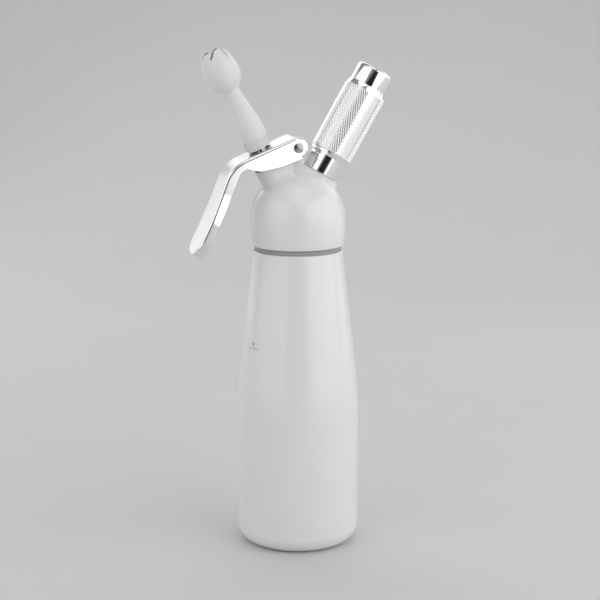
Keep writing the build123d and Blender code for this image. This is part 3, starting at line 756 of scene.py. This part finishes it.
# ---------------------------------------------------------------- charger holder
# The holder is turned from aluminium, threaded to screw over the spigot, and chromed. A knurled grip
# sleeve is pressed on it, and both ends of the knurl are turned down to a cone.
holder_foot = 28.7
holder_top = 104.3
holder_radius = 12.2
crown_foot = 91.9
crown_radius = 12.6
socket_radius = 10.7
socket_end = 42.3
hollow_radius = 9.3
hollow_top = 99.8
bm = bmesh.new()
holder_thread_foot = inlet_thread_foot + inlet_pitch / 2
helical_ridge(bm, socket_radius + 0.25, socket_radius - 0.07, inlet_pitch, inlet_turns, holder_thread_foot)
spun(
    bm,
    rounded(
        [
            (0, holder_top),
            (crown_radius, holder_top, 2.0),
            (crown_radius, crown_foot, 0.3),
            (holder_radius, crown_foot),
            (holder_radius, holder_foot, 0.5),
            (socket_radius, holder_foot, 0.5),
            (socket_radius, socket_end),
            (hollow_radius, socket_end, 0.3),
            (hollow_radius, hollow_top, 6),
            (0, hollow_top),
        ]
    ),
    closed=False,
)
chrome = uneven(
    finish("chrome_plate", (0.9, 0.9, 0.91), (0.87, 0.87, 0.88), 0.03, 0.07, 60, metallic=1.0), 400, 0.000002
)
dress(piece("holder_turned", bm, HOLDER_AXIS), chrome, "charger_holder")

sleeve_foot = 40.6
sleeve_end_radius = 12.9
knurl_root = 13.72
knurl_crest = 14.1
knurl_slope = 0.4
cone_length = 3.6
columns = 64
rows = 22
root_length = cone_length * (knurl_root - sleeve_end_radius) / (knurl_crest - sleeve_end_radius)
knurl_foot = sleeve_foot + root_length
knurl_length = crown_foot - sleeve_foot - 2 * root_length
outline = [(holder_radius, sleeve_foot), (sleeve_end_radius, sleeve_foot)]
outline += [(knurl_root, knurl_foot + knurl_length * row / rows) for row in range(rows + 1)]
outline += [(sleeve_end_radius, crown_foot), (holder_radius, crown_foot)]
bm = bmesh.new()
spun(bm, outline, steps=columns)
bmesh.ops.recalc_face_normals(bm, faces=bm.faces)


def on_knurl(element):
    """Whether all of a face's or an edge's corners lie on the knurled surface."""
    return all(
        vert.co.xy.length > (knurl_root - 0.05) * MM
        and knurl_foot - 0.01 < vert.co.z / MM < knurl_foot + knurl_length + 0.01
        for vert in element.verts
    )


# The two crossing cuts of the knurl: each cell gets a middle point, and the cells' own edges go
cells = [face for face in bm.faces if on_knurl(face)]
cell_edges = [edge for edge in bm.edges if all(on_knurl(side) for side in edge.link_faces)]
bmesh.ops.poke(bm, faces=cells)
bmesh.ops.dissolve_edges(bm, edges=cell_edges, use_verts=False)
diamonds = [face for face in bm.faces if len(face.verts) == 4 and on_knurl(face)]
knurl_depth = (knurl_crest - knurl_root) * MM
bmesh.ops.inset_individual(bm, faces=diamonds, thickness=knurl_slope * MM, depth=knurl_depth)
for vert in bm.verts:
    from_end = min(vert.co.z / MM - sleeve_foot, crown_foot - vert.co.z / MM)
    cone = sleeve_end_radius + (knurl_crest - sleeve_end_radius) * from_end / cone_length
    limit = min(knurl_crest, cone) * MM
    if vert.co.xy.length > limit:
        vert.co.xy *= limit / vert.co.xy.length
dress(piece("grip_sleeve_knurled", bm, HOLDER_AXIS, sharp=radians(20)), chrome, "grip_sleeve")

# ---------------------------------------------------------------- floor, light and camera
# A pale sweep of paper runs under the object and up behind it. Four soft boxes stand to the left, to the
# right, above and behind, and two narrow strips light the object's edges.
view_bearing = radians(-14)
paper_reach = 12
curve_start = 0.9
curve_radius = 0.6
curve = [
    (curve_start + curve_radius * sin(radians(step)), curve_radius - curve_radius * cos(radians(step)))
    for step in range(0, 91, 10)
]
bm = bmesh.new()
verts = [
    bm.verts.new((-paper_reach, along, up))
    for along, up in [(-paper_reach, 0), (-3, 0), *curve, (curve_start + curve_radius, 4)]
]
edges = [bm.edges.new(pair) for pair in zip(verts, verts[1:])]
pulled = bmesh.ops.extrude_edge_only(bm, edges=edges)["geom"]
far_edge = [item for item in pulled if isinstance(item, bmesh.types.BMVert)]
bmesh.ops.translate(bm, vec=(2 * paper_reach, 0, 0), verts=far_edge)
bmesh.ops.rotate(bm, matrix=Matrix.Rotation(view_bearing, 3, "Z"), verts=bm.verts)
floor = piece("paper_sweep", bm)
paper = finish("floor_paper", (0.66, 0.66, 0.66), (0.63, 0.63, 0.63), 0.6, 0.75, 3)
floor.data.materials.append(paper)

# Soft boxes face the middle of the object. Their bearings count in degrees from the camera's side.
for name, turn, distance, height, width, tall, watts in (
    ("soft_box_left", -60, 1.1, 0.35, 1.7, 1.6, 7),
    ("soft_box_right", 60, 1.1, 0.35, 1.7, 1.6, 11.5),
    ("strip_left", -130, 1.1, 0.45, 0.9, 1.0, 1.7),
    ("strip_right", 115, 1.1, 0.45, 0.6, 1.0, 1.6),
    ("soft_box_top", 0, 0.6, 1.6, 1.2, 1.2, 4),
    ("soft_box_back", 180, 1.15, 1.05, 2.6, 1.2, 9),
):
    lamp = bpy.data.lights.new(name, "AREA")
    lamp.shape = "RECTANGLE"
    lamp.size, lamp.size_y = width, tall
    lamp.energy = watts
    soft_box = bpy.data.objects.new(name, lamp)
    bearing = view_bearing + radians(turn)
    soft_box.location = (distance * sin(bearing), -distance * cos(bearing), height)
    aim = Vector((0, 0, 0.16)) - soft_box.location
    soft_box.rotation_euler = aim.to_track_quat("-Z", "Y").to_euler()
    bpy.context.scene.collection.objects.link(soft_box)

# The room is dim, and dark behind the camera
room = bpy.data.worlds.new("room")
room.use_nodes = True
tree = room.node_tree
outlook = tree.nodes.new("ShaderNodeTexCoord").outputs["Generated"]
direction = wired(tree, "ShaderNodeVectorMath", [(outlook, 0)], operation="DOT_PRODUCT")
direction.inputs[1].default_value = (sin(view_bearing), -cos(view_bearing), 0)
dimming = wired(
    tree,
    "ShaderNodeMapRange",
    [(direction.outputs["Value"], 0)],
    interpolation_type="SMOOTHSTEP",
    from_min=0.89,
    from_max=0.975,
)
dimming.inputs["To Min"].default_value = 0.3
dimming.inputs["To Max"].default_value = 0.02
tree.links.new(dimming.outputs["Result"], tree.nodes["Background"].inputs["Strength"])
tree.nodes["Background"].inputs["Color"].default_value = (0.9, 0.9, 0.9, 1)
bpy.context.scene.world = room
bpy.context.scene.view_settings.view_transform = "Standard"

camera_data = bpy.data.cameras.new("camera")
camera_data.lens = 93.7
camera_data.sensor_width = 36
camera_data.shift_x = 0.0037
camera = bpy.data.objects.new("camera", camera_data)
camera.location = (-0.2419, -0.9703, 0.3626)
camera.rotation_euler = (radians(90 - 11.37), 0, view_bearing)
bpy.context.scene.collection.objects.link(camera)
bpy.context.scene.camera = camera
